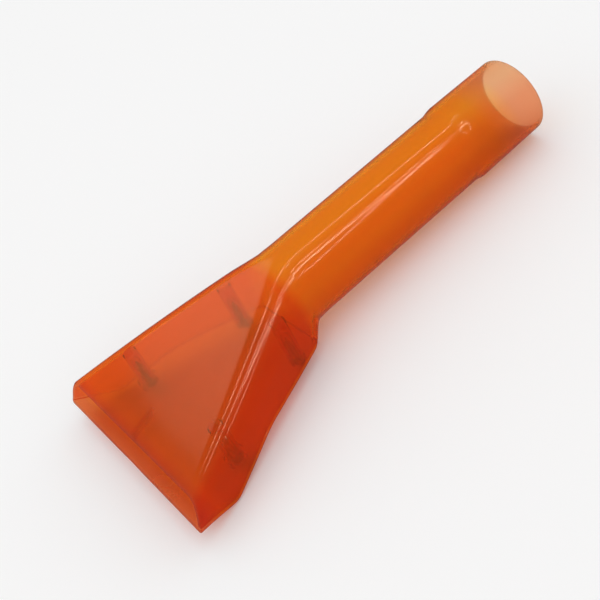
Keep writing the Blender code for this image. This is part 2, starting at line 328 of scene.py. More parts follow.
class ShaderGraph:
    """The node tree of one material."""

    noise_roughness: float = 0.55

    def __init__(self, name: str) -> None:
        """Make an empty material."""
        self.material = bpy.data.materials.new(name)
        self.material.use_nodes = True
        self.tree = self.material.node_tree
        self.tree.nodes.clear()

    def node(self, kind: str, inputs: dict[Any, Any] | None = None, output: Any = 0,
             **settings: Any) -> Signal:
        """Add a node and return one of its outputs.

        Args:
            kind: The node's type name.
            inputs: Value or Signal for each input, by name or number.
            output: Name or number of the output to return.
            **settings: Values of the node's own properties, set first.

        Returns:
            The output as a Signal.
        """
        node = self.tree.nodes.new(kind)
        for key, value in settings.items():
            setattr(node, key, value)
        for key, value in (inputs or {}).items():
            if isinstance(value, Signal):
                self.tree.links.new(value.socket, node.inputs[key])
            else:
                node.inputs[key].default_value = value
        return Signal(self, node.outputs[output] if node.outputs else None)

    def noise(self, place: Signal, scale: float, detail: float) -> Signal:
        """Soft random pattern from 0 to 1."""
        return self.node("ShaderNodeTexNoise", {
            "Vector": place, "Scale": scale, "Detail": detail, "Roughness": self.noise_roughness,
        })

    def place(self) -> Signal:
        """Position on the piece, in metres, in the row's axes."""
        return self.node("ShaderNodeTexCoord", None, "Object")

    def stretched(self, place: Signal, scale: Triple) -> Signal:
        """The position with each axis scaled by its own amount."""
        return self.node("ShaderNodeVectorMath", {0: place, 1: scale}, operation="MULTIPLY")

    def ramp(self, value: Signal, span: Pair) -> Signal:
        """Straight climb from 0 at the span's start to 1 at its end, held at both ends."""
        return self.node("ShaderNodeMapRange", {
            "Value": value, "From Min": span[0], "From Max": span[1], "To Min": 0.0, "To Max": 1.0,
        }, clamp=True)

    def tint(self, first: Signal | Triple, second: Signal | Triple, share: Signal,
             blend: Blend = Blend.COVER) -> Signal:
        """The first colour with the second laid over it to a varying degree."""
        return self.node("ShaderNodeMix", {
            MIX_SHARE: share, MIX_FIRST: opaque(first), MIX_SECOND: opaque(second),
        }, MIX_RESULT, data_type="RGBA", blend_type=blend.value)

    def relief(self, height: Signal, strength: float, depth: float) -> Signal:
        """Normal of a surface with the given pattern of heights."""
        return self.node("ShaderNodeBump", {
            "Strength": strength, "Distance": depth, "Height": height,
        })

    def finish(self, surface: Signal, volume: Signal | None = None) -> bpy.types.Material:
        """Wire up the output and return the material."""
        inputs = {"Surface": surface}
        if volume is not None:
            inputs["Volume"] = volume
        self.node("ShaderNodeOutputMaterial", inputs)
        return self.material


# ------------------------------------------------------------------ finishes

@dataclass(frozen=True)
class TranslucentOrange:
    """Glossy moulded plastic that lets light through and deepens in colour with depth.

    Stations (_x) and radii (_r) are in millimetres in the tool's own axes. A pair says where a
    mask starts and where it is full.
    """

    axes: Matrix
    tube: Triple = (1.0, 0.71, 0.06)
    # Painted shade: deeper tint over the head, standing for light passing through more plastic
    # there.
    head: Triple = (0.965, 0.38, 0.035)
    # Painted shade: darker, browner tint at the mouth's lip.
    lip: Triple = (0.86, 0.27, 0.10)
    socket: Triple = (1.0, 0.66, 0.24)
    # Painted light: paler, lit tone on the socket's bore.
    bore: Triple = (0.80, 0.5, 0.56)
    # Painted shade: deeper tint multiplied onto faces that turn sideways.
    side_shade_tint: Triple = (0.99, 0.58, 0.5)
    streak: Triple = (0.96, 0.96, 0.96)
    head_x: Pair = (82.0, 88.0)
    lip_x: Pair = (-3.0, 4.0)
    rim_x: Pair = (231.0, 235.5)
    bore_x: Pair = (205.0, 222.0)
    bore_middle_x: float = 220.0
    bore_r: Pair = (18.2, 18.8)
    side_facing: Pair = (0.35, 0.85)
    streaked: Pair = (0.35, 0.65)
    flow_scale: Triple = (9.0, 55.0, 55.0)
    cloud_scale: float = 42.0
    grain_scale: float = 950.0
    hairline_scale: Triple = (60.0, 1400.0, 1400.0)
    hairlines: Pair = (0.66, 0.74)
    scratched: Pair = (0.45, 0.7)
    worn: Pair = (0.35, 0.85)
    worn_grain: float = 0.08
    clouded: Pair = (0.3, 0.8)
    depth_colour: Triple = (0.985, 0.4, 0.0)
    depth_density: float = 150.0
    clearness: float = 0.9
    index: float = 1.1
    roughness: float = 0.17
    cloud_roughness: float = 0.08
    worn_roughness: float = 0.08
    gloss: float = 0.5
    gloss_roughness: float = 0.1
    gloss_index: float = 1.5
    gloss_scratched_off: float = 0.5
    grain_height: float = 0.12
    scratch_height: float = 0.5
    flow_height: float = 0.1
    bump: float = 0.04
    bump_depth: float = 0.0004

    def material(self) -> bpy.types.Material:
        """Build the material."""
        graph = ShaderGraph("translucent_orange_plastic")
        place = graph.place()
        flow = graph.noise(graph.stretched(place, self.flow_scale), scale=1.0, detail=4.0)
        cloud = graph.noise(place, self.cloud_scale, detail=2.0)
        grain = graph.noise(place, self.grain_scale, detail=2.0)
        hairline = graph.noise(graph.stretched(place, self.hairline_scale), scale=1.0, detail=1.0)
        scratch = graph.ramp(hairline, self.hairlines) * graph.ramp(cloud, self.scratched)
        at_edges = 1 - self.beyond(graph, place, self.lip_x) + self.beyond(graph, place, self.rim_x)
        worn = at_edges * graph.ramp(cloud + grain * self.worn_grain, self.worn)
        clouded = graph.ramp(cloud, self.clouded)
        height = (grain * self.grain_height + scratch * self.scratch_height +
                  flow * self.flow_height)
        surface = graph.node("ShaderNodeBsdfPrincipled", {
            "Base Color": self.colour(graph, place, flow),
            "Roughness": (self.roughness + clouded * self.cloud_roughness +
                          worn * self.worn_roughness),
            "IOR": self.index,
            "Transmission Weight": self.clearness,
            "Coat Weight": self.gloss - scratch * self.gloss * self.gloss_scratched_off,
            "Coat Roughness": self.gloss_roughness,
            "Coat IOR": self.gloss_index,
            "Normal": graph.relief(height, self.bump, self.bump_depth),
        })
        volume = graph.node("ShaderNodeVolumeAbsorption", {
            "Color": opaque(self.depth_colour), "Density": self.depth_density,
        })
        return graph.finish(surface, volume)

    def beyond(self, graph: ShaderGraph, place: Signal, span: Pair) -> Signal:
        """Mask that climbs along the tool between two of its stations.

        Args:
            graph: The material's graph.
            place: Position on the piece.
            span: Start and end of the climb.

        Returns:
            The mask, from 0 to 1.
        """
        low, high = ((self.axes @ Vector((x, 0.0, 0.0))).x for x in span)
        along = graph.node("ShaderNodeSeparateXYZ", {0: place}, "X")
        return graph.ramp(along, (low, high))

    def colour(self, graph: ShaderGraph, place: Signal, flow: Signal) -> Signal:
        """Tint of the walls: the tube's own orange, with painted shade deepening the head, the lip
        and the sideways walls, and a painted paler, lit tone inside the socket's bore.
        """
        shaded_head = 1 - self.beyond(graph, place, self.head_x)
        shaded_lip = 1 - self.beyond(graph, place, self.lip_x)
        at_socket = self.beyond(graph, place, self.bore_x)
        lit_bore = at_socket * self.near_axis(graph, place)
        normal = graph.node("ShaderNodeTexCoord", None, "Normal")
        sideways = graph.node("ShaderNodeSeparateXYZ", {0: normal}, "Y")
        sideways = graph.node("ShaderNodeMath", {0: sideways}, operation="ABSOLUTE")
        # Painted shade on the sideways-facing walls, set by their normal.
        painted_side_shade = graph.ramp(sideways, self.side_facing) * (1 - lit_bore)
        # Painted shade deepens the head.
        colour = graph.tint(self.tube, self.head, shaded_head)
        # Painted shade darkens the lip.
        colour = graph.tint(colour, self.lip, shaded_lip)
        colour = graph.tint(colour, self.socket, at_socket)
        # Painted light: paler tone inside the bore.
        colour = graph.tint(colour, self.bore, lit_bore)
        colour = graph.tint(colour, self.side_shade_tint, painted_side_shade, Blend.MULTIPLY)
        return graph.tint(colour, self.streak, graph.ramp(flow, self.streaked), Blend.MULTIPLY)

    def near_axis(self, graph: ShaderGraph, place: Signal) -> Signal:
        """Mask of what lies closer to the tube's axis than its outer wall."""
        middle = self.axes @ Vector((self.bore_middle_x, 0.0, 0.0))
        offset = graph.node("ShaderNodeVectorMath", {0: place, 1: middle}, operation="SUBTRACT")
        flat = graph.stretched(offset, (0.0, 1.0, 1.0))
        away = graph.node("ShaderNodeVectorMath", {0: flat}, "Value", operation="LENGTH")
        return 1 - graph.ramp(away, (self.bore_r[0] * MM, self.bore_r[1] * MM))


@dataclass(frozen=True)
class ZincSteel:
    """Bright zinc plating on the screws, a little cloudy."""

    bright: Triple = (0.66, 0.66, 0.64)
    dull: Triple = (0.40, 0.41, 0.42)
    dulled: Pair = (0.4, 0.7)
    cloud_scale: float = 380.0
    grain_scale: float = 2600.0
    roughness: float = 0.3
    cloud_roughness: float = 0.2
    bump: float = 0.12
    bump_depth: float = 0.0001

    def material(self) -> bpy.types.Material:
        """Build the material."""
        graph = ShaderGraph("zinc_plated_steel")
        place = graph.place()
        cloud = graph.noise(place, self.cloud_scale, detail=4.0)
        grain = graph.noise(place, self.grain_scale, detail=2.0)
        return graph.finish(graph.node("ShaderNodeBsdfPrincipled", {
            "Base Color": graph.tint(self.bright, self.dull, graph.ramp(cloud, self.dulled)),
            "Metallic": 1.0,
            "Roughness": self.roughness + cloud * self.cloud_roughness,
            "Normal": graph.relief(grain, self.bump, self.bump_depth),
        }))


@dataclass(frozen=True)
class PaleFloor:
    """Matt near-white studio floor."""

    colour: Triple = (0.93, 0.93, 0.93)
    roughness: float = 0.9
    sheen: float = 0.1

    def material(self) -> bpy.types.Material:
        """Build the material."""
        graph = ShaderGraph("pale_floor")
        return graph.finish(graph.node("ShaderNodeBsdfPrincipled", {
            "Base Color": opaque(self.colour),
            "Roughness": self.roughness,
            "Specular IOR Level": self.sheen,
        }))


# ------------------------------------------------------------------ the tool's shape

@dataclass(frozen=True)
class Section:
    """Right half of one cross-section, from its top centre round to its bottom centre.

    A place on it is given by a measure that counts both the length and the turning passed, so
    that evenly spaced places lie closer together round the corners.
    """

    width: float
    top: float
    bottom: float
    top_r: float
    bottom_r: float
    splay: float
    turn_weight: float = 14.0

    def legs(self) -> list[float]:
        """Measure of the top, top corner, side, bottom corner and bottom."""
        side = self.top - self.bottom - self.top_r - self.bottom_r
        return [
            self.width - self.top_r,
            QUARTER_TURN * (self.top_r + self.turn_weight),
            side,
            QUARTER_TURN * (self.bottom_r + self.turn_weight),
            self.width - self.bottom_r,
        ]

    def whole(self) -> float:
        """Measure of the whole half."""
        return sum(self.legs())

    def at_height(self, height: float) -> float:
        """Measure at which the outline passes a height on its way down."""
        legs = self.legs()
        corner_top = self.bottom + self.bottom_r
        if height >= corner_top:
            return legs[0] + legs[1] + (self.top - self.top_r - height)
        angle = math.asin(clamp((corner_top - height) / self.bottom_r))
        return sum(legs[:3]) + angle * (self.bottom_r + self.turn_weight)

    def point(self, measure: float) -> Pair:
        """Y (to the right as positive) and Z at a measure."""
        legs = self.legs()
        if measure <= legs[0]:
            y, z = measure, self.top
        elif measure <= sum(legs[:2]):
            angle = (measure - legs[0]) / (self.top_r + self.turn_weight)
            y = self.width - self.top_r + self.top_r * math.sin(angle)
            z = self.top - self.top_r + self.top_r * math.cos(angle)
        elif measure <= sum(legs[:3]):
            y, z = self.width, self.top - self.top_r - (measure - sum(legs[:2]))
        elif measure <= sum(legs[:4]):
            angle = (measure - sum(legs[:3])) / (self.bottom_r + self.turn_weight)
            y = self.width - self.bottom_r + self.bottom_r * math.cos(angle)
            z = self.bottom + self.bottom_r - self.bottom_r * math.sin(angle)
        else:
            y, z = max(self.whole() - measure, 0.0), self.bottom
        lean = 1 + self.splay * (self.top - z) / (self.top - self.bottom)
        return y * lean, z


@dataclass(frozen=True)
class DuctShape:
    """The outer shape of tube and head, its inside, and the line where the cover meets it."""

    tube_r: float = 19.0
    wall: float = 2.3
    socket_r_step: float = 19.95
    socket_r_rim: float = 19.6
    socket_bore_r: float = 17.5
    step_x: Pair = (192.5, 198.5)
    rim_x: float = 235.5
    neck_x: float = 90.0
    mouth_half_width: float = 54.4
    flare_bow: float = 1.4
    neck_blend: float = 9.0
    mouth_top_z: float = -2.85
    front_slope: float = 0.252
    front_blend: float = 12.0
    mouth_corner_r: float = 7.0
    back_splay: float = 0.008
    back_z: float = -17.4
    knee_x: float = 43.2
    ridge: Pair = (13.4, -24.7)
    lip: Pair = (-6.8, -16.0)
    knee_blend: float = 5.0
    ridge_blend: float = 2.5
    back_corner_r: float = 1.5
    inner_corner_r: float = 0.6
    heel_x: Pair = (80.5, 93.0)
    heel_shift: float = 2.2
    cover_thick: float = 2.2
    cover_end_x: float = 83.8
    gap: float = 0.3

    def front(self, x: float) -> float:
        """Height of the front wall's outer face."""
        corner = ((self.tube_r - self.mouth_top_z) / self.front_slope, self.tube_r)
        return blended_line(x, corner, (self.front_slope, 0.0), self.front_blend)

    def half_width(self, x: float) -> float:
        """Outer half-width: a straight flare with a slight bow, highest half-way."""
        flare = (self.mouth_half_width - self.tube_r) / self.neck_x
        straight = blended_line(x, (self.neck_x, self.tube_r), (-flare, 0.0), self.neck_blend)
        share = clamp((self.neck_x - x) / self.neck_x)
        return straight + self.flare_bow * 4 * share * (1 - share)

    def back(self, x: float) -> float:
        """Height of the back's outer face over the head."""
        bulge = (self.back_z - self.ridge[1]) / (self.knee_x - self.ridge[0])
        to_lip = (self.ridge[1] - self.lip[1]) / (self.ridge[0] - self.lip[0])
        if x > (self.knee_x + self.ridge[0]) / 2:
            return blended_line(x, (self.knee_x, self.back_z), (bulge, 0.0), self.knee_blend)
        return blended_line(x, self.ridge, (to_lip, bulge), self.ridge_blend)

    def section(self, x: float, inside: bool) -> Section:
        """Cross-section of the outer face, or of the inner one."""
        inset = self.wall if inside else 0.0
        shift = self.heel_shift if inside else 0.0
        if x > self.neck_x + self.front_blend:
            radius = self.round_radius(x, inside)
            return Section(radius, radius, -radius, radius, radius, 0.0)
        heel = smooth_step((self.heel_x[1] - shift - x) / (self.heel_x[1] - self.heel_x[0]))
        top = self.front(x) - inset
        bottom = mix(-self.tube_r, self.back(x), heel) + inset
        along = clamp(x / self.neck_x)
        top_r = mix(self.mouth_corner_r, self.tube_r, along) - inset
        bottom_r = max(mix(self.tube_r, self.back_corner_r, heel) - inset, self.inner_corner_r)
        top_r = min(top_r, top - bottom - bottom_r)
        width = self.half_width(x) - inset
        splay = self.back_splay * clamp((self.neck_x - x) / self.neck_x)
        return Section(width, top, bottom, top_r, bottom_r, splay)

    def round_radius(self, x: float, inside: bool) -> float:
        """Radius along the tube and the hose socket."""
        step = smooth_step((x - self.step_x[0]) / (self.step_x[1] - self.step_x[0]))
        if inside:
            return mix(self.tube_r - self.wall, self.socket_bore_r, step)
        taper = clamp((x - self.step_x[1]) / (self.rim_x - self.step_x[1]))
        return mix(self.tube_r, mix(self.socket_r_step, self.socket_r_rim, taper), step)

    def tube_spot(self, x: float, angle: float) -> tuple[Vector, Vector]:
        """Place on the tube, by station and angle in radians from the top, and its normal."""
        normal = Vector((0.0, -math.sin(angle), math.cos(angle)))
        return Vector((x, normal.y * self.tube_r, normal.z * self.tube_r)), normal

    def shoulder_spot(self, x: float, angle: float) -> tuple[Vector, Vector]:
        """Place on the head's right shoulder, given as for the tube, and its normal."""
        step = 0.01
        here = self.shoulder(x, angle)
        along = self.shoulder(x + step, angle) - here
        around = self.shoulder(x, angle + step) - here
        return here, around.cross(along).normalized()

    def shoulder(self, x: float, angle: float) -> Vector:
        """Place on the right shoulder, by station and angle in radians from the front face."""
        section = self.section(x, False)
        radius = section.top_r
        y = section.width - radius + radius * math.sin(angle)
        return Vector((x, -y, section.top - radius + radius * math.cos(angle)))

    def mouth_x(self, z: float) -> float:
        """X of the mouth's slanted plane at a height."""
        slant = self.lip[0] / (self.lip[1] - self.mouth_top_z)
        return slant * (z - self.mouth_top_z)


@dataclass(frozen=True)
class ToolAxes:
    """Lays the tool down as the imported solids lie, on its ridge and its socket's rim."""

    shape: DuctShape

    def matrix(self) -> Matrix:
        """From the tool's own axes, in millimetres, to the row's, in metres."""
        shape = self.shape
        slope = (-shape.socket_r_rim - shape.ridge[1]) / (shape.rim_x - shape.ridge[0])
        turn = Matrix.Rotation(math.atan(slope), 4, "Y")
        low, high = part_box("nozzle_body")
        rim_top = turn @ Vector((shape.rim_x, 0.0, shape.socket_r_rim)) * MM
        rim_low = turn @ Vector((shape.rim_x, 0.0, -shape.socket_r_rim)) * MM
        offset = Vector((high[0] - rim_top.x, (low[1] + high[1]) / 2, low[2] - rim_low.z))
        return Matrix.Translation(offset) @ turn @ Matrix.Scale(MM, 4)


@dataclass(frozen=True)
class ScrewPlace:
    """Where one screw stands, with the heights of its seat and its pad."""

    name: str
    x: float
    y: float
    seat: float
    pad_top: float
    pad_r: float


@dataclass(frozen=True)
class ScrewLayout:
    """The four screws' places: a pair near the neck and a pair near the mouth."""

    shape: DuctShape
    upper: Pair = (72.1, 20.3)
    lower: Pair = (24.4, 35.9)
    pad_r: Pair = (3.8, 4.9)
    pad_rise: Pair = (1.8, 2.9)
    pad_wall: Pair = (2.4, 2.0)

    def places(self) -> list[ScrewPlace]:
        """Each screw's place."""
        found = []
        for row, level in enumerate(("upper", "lower")):
            x, y = getattr(self, level)
            pad_top = self.shape.back(x) + self.shape.cover_thick + self.pad_rise[row]
            for side, sign in (("right", -1), ("left", 1)):
                seat = pad_top - self.pad_wall[row]
                name = f"{level}_{side}"
                found.append(ScrewPlace(name, x, sign * y, seat, pad_top, self.pad_r[row]))
        return found


# ------------------------------------------------------------------ pieces

@dataclass
class DuctSurface:
    """Rows of points over the head and tube that the body and the cover are made from.

    The zones give the rows' spacing: each zone's end and the spacing up to it.
    """

    shape: DuctShape
    upper_points: int = 80
    lower_points: int = 30
    rim_round: float = 0.55
    rim_steps: int = 4
    mouth_zone: float = 12.0
    head_zones: tuple[Pair, ...] = (
        (9.0, 1.5), (18.0, 0.6), (36.0, 3.0), (50.0, 1.4), (72.0, 2.75))
    head_end_spacing: float = 1.0
    tube_zones: tuple[Pair, ...] = ((104.0, 0.8), (190.0, 8.0), (201.0, 0.45))
    socket_spacing: float = 4.0
    settle_rounds: int = 8
    settled_within: float = 1e-5

    def head_stations(self) -> list[Station]:
        """Places along the head, closer together where the shape turns, up to its end."""
        zones = (*self.head_zones, (self.shape.cover_end_x, self.head_end_spacing))
        return [self.mouth_station(x) for x in spaced(0.0, zones)]

    def tube_stations(self) -> list[float]:
        """Places from the cover's end to the start of the rim's rounding."""
        shape = self.shape
        end = shape.rim_x - self.rim_round
        zones = (*self.tube_zones, (end, self.socket_spacing))
        return spaced(shape.cover_end_x + shape.gap, zones) + [end]

    def upper_row(self, x_at: Station, inside: bool, clearance: float) -> Loop:
        """Points from the left parting line over the front wall to the right one.

        Args:
            x_at: X for a given height.
            inside: True for the inner face.
            clearance: Height of the parting line above the back's outer face.

        Returns:
            The row's points.
        """
        shares = [step / self.upper_points for step in range(self.upper_points + 1)]
        right = [self._settle(x_at, inside, clearance, share, False) for share in shares]
        return mirrored(right[1:]) + right

    def lower_row(self, x_at: Station, inside: bool, clearance: float) -> Loop:
        """Points from the right parting line under the back to the left one."""
        shares = [step / self.lower_points for step in range(self.lower_points + 1)]
        right = [self._settle(x_at, inside, clearance, share, True) for share in shares]
        return right + mirrored(right[:-1])

    def _settle(self, x_at: Station, inside: bool, clearance: float, share: float,
                lower: bool) -> Vector:
        """One point, found by closing in on the X that belongs to its height."""
        x = x_at(self.shape.mouth_top_z)
        for _ in range(self.settle_rounds):
            section = self.shape.section(x, inside)
            cut = section.at_height(self.shape.back(x) + clearance)
            measure = mix(cut, section.whole(), share) if lower else cut * share
            y, z = section.point(measure)
            settled = x_at(z)
            if abs(settled - x) < self.settled_within:
                break
            x = settled
        return Vector((x, -y, z))

    def mouth_station(self, distance: float) -> Station:
        """X for a height, in rows that leave the slanted mouth and straighten further in."""
        reach = self.mouth_zone

        def x_at(z: float) -> float:
            start = self.shape.mouth_x(z) + self.rim_round
            return start + (reach - start) * distance / reach if distance < reach else distance

        return x_at

    def rounded_rim(self, outer: Loop, outer_edge: Loop, inner_edge: Loop,
                    inner: Loop) -> list[Loop]:
        """Rows that round both edges of a rim.

        Args:
            outer: Row on the outer face where the rounding starts.
            outer_edge: The outer face's sharp edge.
            inner_edge: The inner face's sharp edge.
            inner: Row on the inner face where the rounding ends.

        Returns:
            Rows from just after outer to just before inner.
        """
        sides = []
        for start, edge, far in ((outer, outer_edge, inner_edge), (inner, inner_edge, outer_edge)):
            side = []
            for step in range(1, self.rim_steps + 1):
                angle = QUARTER_TURN * step / self.rim_steps
                back, over = 1 - math.sin(angle), 1 - math.cos(angle)
                side.append([
                    b + (a - b) * back + (c - b).normalized() * self.rim_round * over
                    for a, b, c in zip(start, edge, far)])
            sides.append(side)
        return sides[0] + sides[1][::-1]


@dataclass
class Rib:
    """Thin stiffening rib up the middle of the front wall's inside."""

    shape: DuctShape
    start_x: float = 0.8
    end_x: float = 14.0
    width: float = 1.6
    height: float = 3.2
    nose: float = 3.0
    nose_share: float = 0.4
    nose_drop: float = 0.5
    end_height: float = 0.4

    def build(self) -> bpy.types.Object:
        """Solid that overlaps the front wall by half its thickness."""
        shape = self.shape
        front_start, front_end = shape.front(self.start_x), shape.front(self.end_x)
        nose_x = self.end_x - self.nose
        middle = shape.wall / 2
        reach = shape.wall + self.height
        outline = [
            (self.start_x, front_start - middle),
            (self.end_x, front_end - middle),
            (self.end_x, front_end - shape.wall - self.end_height),
            (self.end_x - self.nose * self.nose_share, front_end - reach + self.nose_drop),
            (nose_x, shape.front(nose_x) - reach),
            (self.start_x, front_start - reach),
        ]
        skin = Skin()
        skin.solid([
            skin.row(Vector((x, side * self.width, z)) for x, z in outline)
            for side in (-0.5, 0.5)])
        return skin.object("rib")


@dataclass
class NozzleBody:
    """Hose socket, tube, front and side walls, four screw posts and the rib: one moulding."""

    surface: DuctSurface
    layout: ScrewLayout
    post_r: float = 3.4
    post_break: float = 0.3
    post_sides: int = 48
    wall_over_post: float = 0.25
    pilot_r: float = 1.75
    pilot_flare: float = 0.5
    pilot_tip: float = 0.3
    pilot_sides: int = 32
    overshoot: float = 1.0
    screw_length: float = 14.0
    spare: float = 1.0
    smooth_angle: float = 34.0

    def build(self, axes: Matrix, material: bpy.types.Material) -> bpy.types.Object:
        """Build, dress and place the piece.

        Args:
            axes: From the tool's axes to the row's.
            material: The plastic.

        Returns:
            The finished piece.
        """
        body = self.shell()
        combine(body, [joined("posts", self.posts()), Rib(self.surface.shape).build()], Cut.JOIN)
        combine(body, [joined("pilots", self.pilots())], Cut.REMOVE)
        return dress(body, axes, material, self.smooth_angle)

    def clearance(self) -> float:
        """Height of the moulding's parting line above the back's outer face."""
        return self.surface.shape.cover_thick + self.surface.shape.gap

    def shell(self) -> bpy.types.Object:
        """The walls, with rounded rims, as one closed skin."""
        surface = self.surface
        skin = Skin()
        head = surface.head_stations()
        outer, inner = (
            [surface.upper_row(x_at, inside, self.clearance()) for x_at in head]
            for inside in (False, True))
        edges = [
            surface.upper_row(surface.shape.mouth_x, inside, self.clearance())
            for inside in (False, True)]
        outer_rows = [skin.row(row) for row in outer]
        inner_rows = [skin.row(row) for row in inner]
        rim = surface.rounded_rim(outer[0], *edges, inner[0])
        rim_rows = skin.bridge(outer_rows[0], rim, inner_rows[0])
        for end in (0, -1):
            skin.face([row[end] for row in rim_rows])
        tube_outer, tube_inner = (
            [self._ring(skin, x, inside) for x in surface.tube_stations()]
            for inside in (False, True))
        upper = len(outer_rows[0])
        outer_rows.append(tube_outer[0][:upper])
        inner_rows.append(tube_inner[0][:upper])
        for rows in (outer_rows, inner_rows):
            skin.loft(rows)
        for end in (0, -1):
            skin.edge(outer_rows, inner_rows, end)
        for rings in (tube_outer, tube_inner):
            skin.loft(rings, closed=True)
        skin.loft([rings[0][upper - 1:] + [rings[0][0]] for rings in (tube_outer, tube_inner)])
        self._close_socket(skin, tube_outer[-1], tube_inner[-1])
        return skin.object("nozzle_moulding")

    def _ring(self, skin: Skin, x: float, inside: bool) -> list[int]:
        """Whole ring of points at one station."""
        x_at = same_everywhere(x)
        upper = self.surface.upper_row(x_at, inside, self.clearance())
        lower = self.surface.lower_row(x_at, inside, self.clearance())
        return skin.row(upper + lower[1:-1])

    def _close_socket(self, skin: Skin, outer: Row, inner: Row) -> None:
        """Round the socket's rim over from the outer face to the bore."""
        step = Vector((self.surface.rim_round, 0.0, 0.0))
        points, far_points = ([skin.points[i] for i in row] for row in (outer, inner))
        edge, far_edge = ([point + step for point in row] for row in (points, far_points))
        rim = self.surface.rounded_rim(points, edge, far_edge, far_points)
        skin.bridge(outer, rim, inner, closed=True)

    def posts(self) -> list[bpy.types.Object]:
        """Solid posts from the cover's pads up into the front wall."""
        shape = self.surface.shape
        posts = []
        for place in self.layout.places():
            start = place.pad_top + shape.gap
            corner = mix(shape.mouth_corner_r, shape.tube_r, place.x / shape.neck_x)
            beyond = abs(place.y) + self.post_r - (shape.half_width(place.x) - corner)
            beyond = clamp(beyond, 0.0, corner)
            rounding = corner - math.sqrt(corner ** 2 - beyond ** 2)
            front = shape.front(place.x - self.post_r)
            roof = front - shape.wall * self.wall_over_post - rounding
            profile = [
                (self.post_r - self.post_break, start),
                (self.post_r, start + self.post_break),
                (self.post_r, roof),
            ]
            posts.append(turned("post", profile, (place.x, place.y), self.post_sides))
        return posts

    def pilots(self) -> list[bpy.types.Object]:
        """Blind holes that the screws go into."""
        holes = []
        for place in self.layout.places():
            start = place.pad_top + self.surface.shape.gap
            end = place.seat + self.screw_length + self.spare
            profile = [
                (self.pilot_r + self.pilot_flare, start - self.overshoot),
                (self.pilot_r + self.pilot_flare, start),
                (self.pilot_r, start + self.pilot_flare),
                (self.pilot_r, end),
                (self.pilot_r * self.pilot_tip, end + self.overshoot),
            ]
            holes.append(turned("pilot", profile, (place.x, place.y), self.pilot_sides))
        return holes


@dataclass
class BackCover:
    """Bent plate that closes the head's back, with a pad, a well and a hole at each screw."""

    surface: DuctSurface
    layout: ScrewLayout
    edge_break: float = 0.35
    pad_break: float = 0.3
    pad_root: float = 0.55
    seat_r: float = 3.5
    hole_r: float = 1.75
    well_reach: float = 5.0
    overshoot: float = 1.0
    sides: int = 48
    smooth_angle: float = 30.0

    def build(self, axes: Matrix, material: bpy.types.Material) -> bpy.types.Object:
        """Build, dress and place the piece."""
        cover = self.plate()
        pads = []
        wells = []
        for place in self.layout.places():
            centre = (place.x, place.y)
            outside = self.surface.shape.back(place.x)
            pad = [
                (place.pad_r, outside + self.surface.shape.cover_thick * self.pad_root),
                (place.pad_r, place.pad_top - self.pad_break),
                (place.pad_r - self.pad_break, place.pad_top),
            ]
            pads.append(turned("pad", pad, centre, self.sides))
            well = [
                (self.seat_r, outside - self.well_reach),
                (self.seat_r, place.seat),
                (self.hole_r, place.seat),
                (self.hole_r, place.pad_top + self.overshoot),
            ]
            wells.append(turned("well", well, centre, self.sides))
        combine(cover, [joined("pads", pads)], Cut.JOIN)
        combine(cover, [joined("wells", wells)], Cut.REMOVE)
        return dress(cover, axes, material, self.smooth_angle)

    def plate(self) -> bpy.types.Object:
        """The plate as one closed skin, with its side edges broken and its lip rounded."""
        surface = self.surface
        shape = surface.shape
        skin = Skin()
        stations = surface.head_stations() + [same_everywhere(shape.cover_end_x)]
        outer = [self._outer(x_at) for x_at in stations]
        inner = [self._inner(x_at) for x_at in stations]
        rim = surface.rounded_rim(
            outer[0], self._outer(shape.mouth_x), self._inner(shape.mouth_x), inner[0])
        outer_rows = [skin.row(row) for row in outer]
        inner_rows = [skin.row(row) for row in inner]
        rim_rows = skin.bridge(outer_rows[0], rim, inner_rows[0])
        for end in (0, -1):
            skin.face([row[end] for row in rim_rows])
            skin.edge(outer_rows, inner_rows, end)
        for rows in (outer_rows, inner_rows, (outer_rows[-1], inner_rows[-1])):
            skin.loft(rows)
        return skin.object("back_plate")

    def _outer(self, x_at: Station) -> Loop:
        """Row over the plate's outer face and its rounded long edges."""
        clearance = self.surface.shape.cover_thick - self.edge_break
        return self.surface.lower_row(x_at, False, clearance)

    def _inner(self, x_at: Station) -> Loop:
        """Row over the plate's level inner face."""
        shape = self.surface.shape
        edge = self.surface.lower_row(x_at, False, shape.cover_thick)[0]
        half = abs(edge.y) - self.edge_break
        count = 2 * self.surface.lower_points
        z = shape.back(edge.x) + shape.cover_thick
        x = x_at(z)
        return [Vector((x, mix(-half, half, step / count), z)) for step in range(count + 1)]


